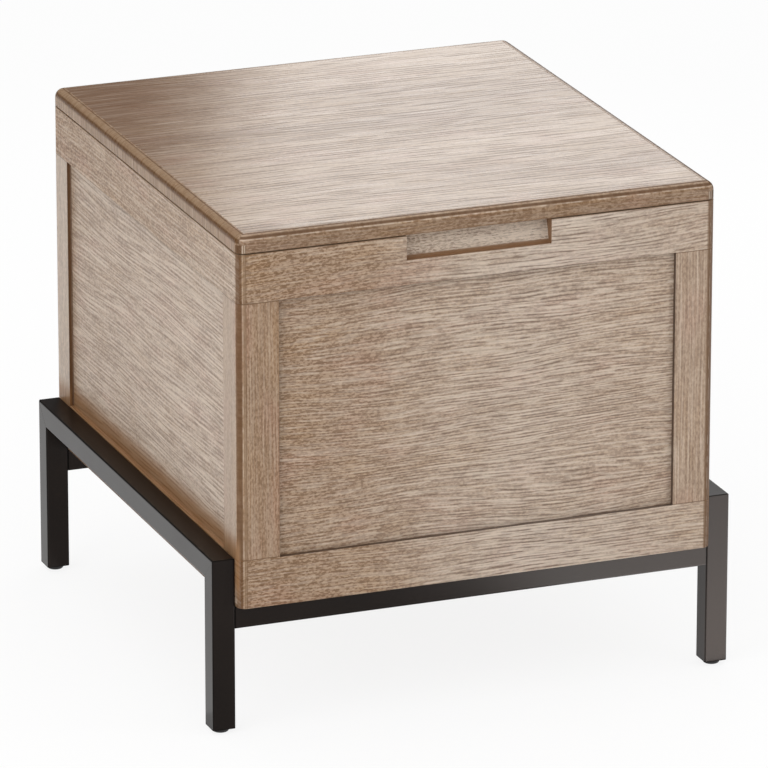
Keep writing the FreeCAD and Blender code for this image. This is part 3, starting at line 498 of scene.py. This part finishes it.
# Metals, plastics and plywood
bronze = {
    "dark": (0.0052, 0.0027, 0.0018),
    "light": (0.0082, 0.0047, 0.0034),
    "fleck": (0.055, 0.040, 0.031),
    "arris": (0.0020, 0.0014, 0.0012),
    "arrisWidth": 0.9,
    "rough": 0.31,
    "arrisRough": 0.85,
    "level": 0.16,
    "tint": (1.0, 0.94, 0.90, 1.0),
}


def tubeMaterial(nodeName):
    material, b = newMaterial("bronze_" + nodeName)
    point = b.place()
    x, y, z = point
    low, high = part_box(nodeName)
    near = [(p - low[i] / mm).atMost(high[i] / mm - p) < bronze["arrisWidth"] for i, p in enumerate(point)]
    edge = (near[0] + near[1] + near[2]) > 1.5  # near two faces at once
    peel = b.noise(x / 1.1, y / 1.1, z / 1.1, 2.0)
    broad = b.noise(x / 90.0, y / 90.0, z / 90.0, 3.0)
    speck = b.noise(x / 0.55, y / 0.55, z / 0.55, 1.0)
    colour = b.tint(broad.ease(0.3, 0.7), bronze["dark"], bronze["light"])
    colour = b.tint(speck.ease(0.62, 0.74) * 0.35, colour, bronze["fleck"])
    colour = b.tint(edge * 0.8, colour, bronze["arris"])
    rough = bronze["rough"] + (broad - 0.5) * 0.12 + (peel - 0.5) * 0.06
    rough = rough.atLeast(edge * bronze["arrisRough"])
    coat = {"Specular IOR Level": bronze["level"], "Specular Tint": bronze["tint"]}
    b.finish(colour, rough, peel * 0.6 + broad * 0.4, bump=0.12, bumpDepth=0.0002, **coat)
    return material


def metalMaterial(name, dark, light, rough, metal=1.0, brush=(30.0, 0.35, 0.35)):  # size of the brush marks
    material, b = newMaterial(name)
    x, y, z = b.place()
    brushed = b.noise(x / brush[0], y / brush[1], z / brush[2], 2.0)
    cloud = b.noise(x / 14.0, y / 14.0, z / 14.0, 3.0)
    colour = b.tint(brushed.ease(0.3, 0.7) * 0.6 + cloud.ease(0.3, 0.7) * 0.4, dark, light)
    b.finish(colour, rough + (cloud - 0.5) * 0.18, brushed, bump=0.10, bumpDepth=0.0001, Metallic=metal)
    return material


def plasticMaterial(name, dark, light, rough):
    material, b = newMaterial(name)
    x, y, z = b.place()
    pebble = b.noise(x / 0.5, y / 0.5, z / 0.5, 2.0)
    cloud = b.noise(x / 6.0, y / 6.0, z / 6.0, 3.0)
    colour = b.tint(cloud.ease(0.35, 0.65), dark, light)
    b.finish(colour, rough + (pebble - 0.5) * 0.15, pebble, bump=0.12, bumpDepth=0.0001)
    return material


plywood = {
    "brown": (0.30, 0.20, 0.125),
    "tan": (0.40, 0.285, 0.19),
    "pale": (0.50, 0.375, 0.265),
    "pore": (0.17, 0.10, 0.06),
    "glue": (0.22, 0.14, 0.085),
    "face": 1.2,  # millimetres of face veneer
}


def plywoodMaterial():
    material, b = newMaterial("stainedPlywood")
    x, y, z = b.place()
    drift = b.noise(x / 180.0, y / 60.0, z / 40.0, 2.0) - 0.5
    grain = b.noise(x / 120.0, (y + drift * 40.0) / 3.2, z / 5.0, 3.0, 0.6)
    pores = b.noise(x / 14.0, y / 0.9, z / 3.0, 1.5)
    ply = b.noise(0.0, 0.0, z / 1.3, 0.0)
    colour = b.ramp(grain, (0.3, plywood["brown"]), (0.5, plywood["tan"]), (0.72, plywood["pale"]))
    colour = b.tint(pores.ease(0.44, 0.30) * 0.5, colour, plywood["pore"])
    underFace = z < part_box("bottom_board")[1].z / mm - plywood["face"]
    colour = b.tint(ply.ease(0.45, 0.6) * underFace * 0.5, colour, plywood["glue"])
    b.finish(colour, 0.55 + (grain - 0.5) * 0.2, grain * 0.6 + pores * 0.4, bump=0.25, bumpDepth=0.0003)
    return material


def padMaterial():
    material, b = newMaterial("clearPad")
    x, y, z = b.place()
    haze = b.noise(x / 2.0, y / 2.0, z / 2.0, 2.0)
    colour = b.tint(haze.ease(0.3, 0.7), (0.50, 0.49, 0.46), (0.66, 0.65, 0.62))
    b.finish(colour, 0.22 + haze * 0.1, haze, bump=0.05, bumpDepth=0.0001)
    return material


# Finished copies of the boards and tubes
easing = {"wood": 0.35, "tube": 0.6}  # radius of the eased arrises in millimetres


def dress(nodeName, ease, material, segments=2):  # a smooth copy with eased arrises stands for the node
    source = nodes[nodeName]
    mesh = source.data.copy()
    mesh.name = nodeName + "_dressed"
    shell = bmesh.new()
    shell.from_mesh(mesh)
    bmesh.ops.remove_doubles(shell, verts=shell.verts, dist=1e-6)
    bmesh.ops.dissolve_limit(shell, angle_limit=math.radians(0.4), verts=shell.verts, edges=shell.edges)
    for face in shell.faces:
        face.smooth = True
        face.material_index = 0
    for edge in shell.edges:
        edge.smooth = not (edge.is_manifold and edge.calc_face_angle(0) > sharp)
    shell.to_mesh(mesh)
    shell.free()
    mesh.materials.clear()
    mesh.materials.append(material)
    piece = bpy.data.objects.new(nodeName + "_piece", mesh)
    bpy.context.scene.collection.objects.link(piece)
    bevel = piece.modifiers.new("easedArris", "BEVEL")
    bevel.limit_method = "ANGLE"
    bevel.angle_limit = sharp
    bevel.width = ease * mm
    bevel.segments = segments
    bevel.use_clamp_overlap = True
    weigh = piece.modifiers.new("flatFaces", "WEIGHTED_NORMAL")
    weigh.keep_sharp = False
    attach(piece, source["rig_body"])
    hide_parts(nodeName)
    return piece


# White washes along the boards; their gradients and the boards' amounts are also painted sheen and light,
# paler towards the front and right, and on the lid towards its front right
topWashAndSheen = ((-290, 0.0), (-240, 0.02), (-180, 0.12), (-120, 0.27), (0, 0.30), (170, 0.26), (300, 0.16))
frontWashAndSheen = ((-240, 0.02), (-120, 0.12), (-20, 0.30), (60, 0.37), (150, 0.28), (240, 0.22))
railWashAndSheen = ((-240, 0.0), (-120, 0.06), (-20, 0.34), (60, 0.50), (150, 0.42), (240, 0.28))
sideWashAndSheen = ((-290, 0.32), (0, 0.27), (290, 0.22))
leftRailWashAndSheen = ((-290, 0.20), (0, 0.08), (290, 0.0))
lidBoard = dict(grain="xFlat", face="top", part="lid")
lidSideBoard = dict(lidBoard, wander=3, lean=0.12)
topRails = dict(grain="x", tilt=-0.02, wander=10, part="topRail")
bottomRails = dict(grain="x", tilt=0.01, wander=9, part="bottomRail")
sideGrain = dict(grain="y", wander=6, fine=1.25, reach=1.8, lime=0.9, contrast=0.64)
sideBoard = dict(sideGrain, washAndSheen=sideWashAndSheen, washAlong="y")
postBoard = dict(grain="z", wander=3, lime=0.5, part="post")
frontPost = dict(postBoard, face="front", reach=2.2, contrast=0.5)
backPost = dict(postBoard, face="back", reach=0.7, contrast=0.65)
veneer = dict(fine=2.0, reach=2.2, broad=5.0, figure=1.5, lime=0.5, contrast=0.8, speckle=1.5, sheen=0.5)
boards = {
    "lid_core": dict(lidBoard, seed=1, tilt=0.012, wander=7, washAndSheen=topWashAndSheen, washAlong="corner", **veneer),
    "lid_edge_front": dict(lidBoard, seed=2, wander=4, lime=0.6, washAndSheen=((0, 0.04),)),
    "lid_edge_back": dict(lidBoard, seed=3, wander=4, washAndSheen=topWashAndSheen, washAlong="corner"),
    "lid_edge_left": dict(lidSideBoard, seed=4, lime=0.5, contrast=0.6, washAndSheen=((0, 0.0),)),
    "lid_edge_right": dict(lidSideBoard, seed=5, lime=0.8, washAndSheen=((0, 0.12),)),
    "top_rail_front": dict(topRails, face="front", seed=6, lime=0.7, contrast=0.82, washAndSheen=railWashAndSheen),
    "top_rail_back": dict(topRails, face="back", seed=7, washAndSheen=frontWashAndSheen),
    "top_rail_left": dict(sideBoard, face="left", seed=8, washAndSheen=leftRailWashAndSheen, part="topRail"),
    "top_rail_right": dict(sideBoard, face="right", seed=9, part="topRail"),
    "bottom_rail_front": dict(bottomRails, face="front", seed=10, lime=0.75, contrast=0.88, washAndSheen=railWashAndSheen),
    "bottom_rail_back": dict(bottomRails, face="back", seed=11, washAndSheen=frontWashAndSheen),
    "bottom_rail_left": dict(sideBoard, face="left", seed=12, part="bottomRail"),
    "bottom_rail_right": dict(sideBoard, face="right", seed=13, part="bottomRail"),
    "panel_front": dict(grain="x", face="front", seed=14, lime=0.9, contrast=0.88, washAndSheen=frontWashAndSheen),
    "panel_back": dict(grain="x", face="back", seed=15, tilt=0.05, wander=20, washAndSheen=frontWashAndSheen),
    "panel_left": dict(sideBoard, face="left", seed=16, tilt=0.01, wander=8),
    "panel_right": dict(sideBoard, face="right", seed=17, tilt=0.01, wander=8),
    "corner_post_front_left": dict(frontPost, seed=18, washAndSheen=((0, 0.03),), speckle=1.4),
    "corner_post_front_right": dict(frontPost, seed=19, lime=0.6, washAndSheen=((0, 0.18),), speckle=1.6),
    "corner_post_back_left": dict(backPost, seed=20, washAndSheen=((0, 0.25),)),
    "corner_post_back_right": dict(backPost, seed=21, washAndSheen=((0, 0.12),)),
}
for nodeName, board in boards.items():
    dress(nodeName, easing["wood"], oakMaterial("oak_" + nodeName, **board))
print("oak boards", len(boards))

baseTubes = bpy.data.collections.new("baseTubes")
for nodeName in nodes:
    if slotOf[nodeName] == "bronze_tube":
        baseTubes.objects.link(dress(nodeName, easing["tube"], tubeMaterial(nodeName), 3))

# Finishes of the pieces that show their own solids
brushY = (0.35, 30.0, 0.35)
finishes = {
    "hinge_steel": metalMaterial("antiqueBronze", (0.10, 0.075, 0.05), (0.24, 0.19, 0.13), 0.38),
    "stay_steel": metalMaterial(
        "blackenedSteel", (0.018, 0.017, 0.016), (0.045, 0.042, 0.040), 0.42, 0.6, brushY
    ),
    "fastener_steel": metalMaterial("zincPlate", (0.34, 0.33, 0.31), (0.52, 0.50, 0.46), 0.34),
    "black_nylon": plasticMaterial("blackNylon", (0.008, 0.008, 0.008), (0.020, 0.019, 0.018), 0.45),
    "plywood": plywoodMaterial(),
    "clear_rubber": padMaterial(),
}
for nodeName, node in nodes.items():
    if slotOf[nodeName] in finishes:
        node.data.materials.clear()
        node.data.materials.append(finishes[slotOf[nodeName]])
print("metal and plastic finishes")

# Levelling feet: round glides with ringed studs
glide = {
    "radius": 9.0,
    "height": 5.0,
    "round": 2.0,
    "lip": 0.6,
    "neck": 6.2,
    "neckHeight": 0.6,
    "stud": 3.65,
    "thread": 0.45,
    "pitch": 1.25,
    "firstTurn": 0.4,
    "plainEnd": 0.8,
    "tip": 1.0,
    "sides": 48,
}


def roundPath(middle, radius, start, end, count):  # an arc between two angles in degrees
    angles = [math.radians(start + (end - start) * i / count) for i in range(count + 1)]
    return [(middle[0] + radius * math.cos(a), middle[1] + radius * math.sin(a)) for a in angles]


def spun(name, profile, centre, sides):  # a closed solid of revolution about Z from (radius, height) in mm
    shell = bmesh.new()
    points = [
        shell.verts.new(((centre[0] + r) * mm, centre[1] * mm, (centre[2] + h) * mm)) for r, h in profile
    ]
    edges = [shell.edges.new(pair) for pair in zip(points, points[1:])]
    bmesh.ops.spin(
        shell,
        geom=points + edges,
        cent=(centre[0] * mm, centre[1] * mm, 0),
        axis=(0, 0, 1),
        angle=2 * math.pi,
        steps=sides,
        use_merge=True,
    )
    bmesh.ops.remove_doubles(shell, verts=shell.verts, dist=2e-6)
    bmesh.ops.recalc_face_normals(shell, faces=shell.faces)
    for face in shell.faces:
        face.smooth = True
    for edge in shell.edges:
        edge.smooth = edge.calc_face_angle(0) < sharp
    mesh = bpy.data.meshes.new(name)
    shell.to_mesh(mesh)
    shell.free()
    piece = bpy.data.objects.new(name, mesh)
    bpy.context.scene.collection.objects.link(piece)
    return piece


def glideProfile(top):  # half a section, from the sole's middle to the stud's end
    radius, height, lip = glide["radius"], glide["height"], glide["lip"]
    stud, root = glide["stud"], glide["stud"] - glide["thread"]
    profile = [(0.0, 0.0)]
    profile += roundPath((radius - glide["round"], glide["round"]), glide["round"], -90, 0, 6)
    profile += roundPath((radius - lip, height - lip - glide["neckHeight"]), lip, 0, 90, 3)
    profile += [(glide["neck"], height - glide["neckHeight"]), (glide["neck"], height), (root, height)]
    ring = height + glide["firstTurn"]
    while ring + glide["pitch"] < top - glide["plainEnd"]:
        profile += [(root, ring), (stud, ring + glide["pitch"] * 0.5)]
        ring += glide["pitch"]
    return profile + [(root, top - glide["plainEnd"]), (stud - glide["tip"], top), (0.0, top)]


for nodeName in sorted(nodes):
    if nodeName.startswith("levelling_foot"):
        low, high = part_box(nodeName)
        middle = ((low.x + high.x) / 2 / mm, (low.y + high.y) / 2 / mm, low.z / mm)
        foot = spun(nodeName + "_glide", glideProfile((high.z - low.z) / mm), middle, glide["sides"])
        foot.data.materials.append(finishes["black_nylon"])
        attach(foot, nodes[nodeName]["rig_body"])
        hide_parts(nodeName)
print("glides")

# Floor and surroundings
studio = {
    "floorSize": 60,
    "floorTone": 0.88,
    "floorGlow": 0.87,
    "skyFrom": 0.38,
    "skyTo": 0.86,
    "skyLow": 0.08,
    "skyHigh": 1.45,
}
bpy.ops.mesh.primitive_plane_add(size=studio["floorSize"], location=(0, 0, 0))
floor = bpy.context.object
floor.name = "studioFloor"
material, b = newMaterial("paleFloor")
ray = b.add("LightPath", out=0).atLeast(b.add("LightPath", out=3))
ray = ray.atLeast(b.add("LightPath", out=6))
card = b.add("BsdfDiffuse", {}, {"Color": (studio["floorTone"],) * 3})
glow = b.add("Emission", {}, {"Color": (1, 1, 1), "Strength": 1.0})
surface = b.add("MixShader", {}, {0: ray * studio["floorGlow"], 1: card, 2: glow})
b.add("OutputMaterial", {}, {"Surface": surface})
floor.data.materials.append(material)

world = bpy.data.worlds.new("studio")
bpy.context.scene.world = world
world.use_nodes = True
sky = Bench(world.node_tree)
upward = sky.add("SeparateXYZ", {}, {0: sky.add("TexCoord", out=0)}, out=2)
level = upward.ease(studio["skyFrom"], studio["skyTo"], studio["skyLow"], studio["skyHigh"])
background = sky.add("Background", {}, {"Color": (1, 1, 1), "Strength": level})
sky.add("OutputWorld", {}, {"Surface": background})
print("floor and sky")

# Lamps, in metres and watts; the two cards on the floor light only the base tubes
lamps = {
    "softboxBack": dict(place=(0.84, 1.60, 1.10), aim=(0.14, -0.04, 0.55), size=(0.80, 0.60), power=3.4),
    "softboxLeft": dict(place=(-2.6, -1.4, 1.5), aim=(0, 0, 0.3), size=(1.8, 1.8), power=28.5),
    "softboxFront": dict(place=(-0.5, -3.0, 1.9), aim=(0, 0, 0.3), size=(1.8, 1.8), power=11.0),
    "floorPanel": dict(
        place=(0.47, -0.66, 0.004), aim=(0.47, -0.66, 1.0), size=(0.64, 0.74), power=9.3, on=baseTubes
    ),
    "floorCard": dict(
        place=(-0.58, 0.42, 0.004), aim=(-0.58, 0.42, 1.0), size=(0.60, 1.30), power=1.1, on=baseTubes
    ),
    "softboxRight": dict(place=(1.0, -1.05, 0.45), aim=(0.2, -0.29, 0.3), size=(0.5, 0.5), power=1.9),
}
for name, lamp in lamps.items():
    light = bpy.data.lights.new(name, "AREA")
    light.shape = "RECTANGLE"
    light.size, light.size_y = lamp["size"]
    light.energy = lamp["power"]
    holder = bpy.data.objects.new(name, light)
    bpy.context.scene.collection.objects.link(holder)
    holder.location = lamp["place"]
    holder.visible_camera = False
    if "on" in lamp:
        holder.light_linking.receiver_collection = lamp["on"]
    aim = Vector(lamp["aim"]) - Vector(lamp["place"])
    holder.rotation_euler = aim.to_track_quat("-Z", "Y").to_euler()

# Camera, fitted to the photo: place and sensor in millimetres, angles in degrees, the rest in pixels
view = {
    "place": (-2859.2, -7359.6, 2942.9),
    "azimuth": -21.304,
    "elevation": 18.722,
    "roll": 0.051,
    "focal": 7658.3,
    "centre": (385.8, 382.6),
    "width": 768,
    "sensor": 36,
}
eye = bpy.data.cameras.new("photoView")
eye.sensor_width = view["sensor"]
eye.sensor_fit = "HORIZONTAL"
eye.lens = view["focal"] / view["width"] * view["sensor"]
eye.shift_x = (view["width"] / 2 - view["centre"][0]) / view["width"]
eye.shift_y = (view["centre"][1] - view["width"] / 2) / view["width"]
eye.clip_end = 200
camera = bpy.data.objects.new("photoView", eye)
bpy.context.scene.collection.objects.link(camera)
turn = (
    Matrix.Rotation(math.radians(view["azimuth"]), 4, "Z")
    @ Matrix.Rotation(math.radians(90 - view["elevation"]), 4, "X")
    @ Matrix.Rotation(math.radians(view["roll"]), 4, "Z")
)
camera.matrix_world = Matrix.Translation(Vector(view["place"]) * mm) @ turn
bpy.context.scene.camera = camera
bpy.context.scene.view_settings.view_transform = "Standard"
print("camera and lamps")

bpy.context.view_layer.update()
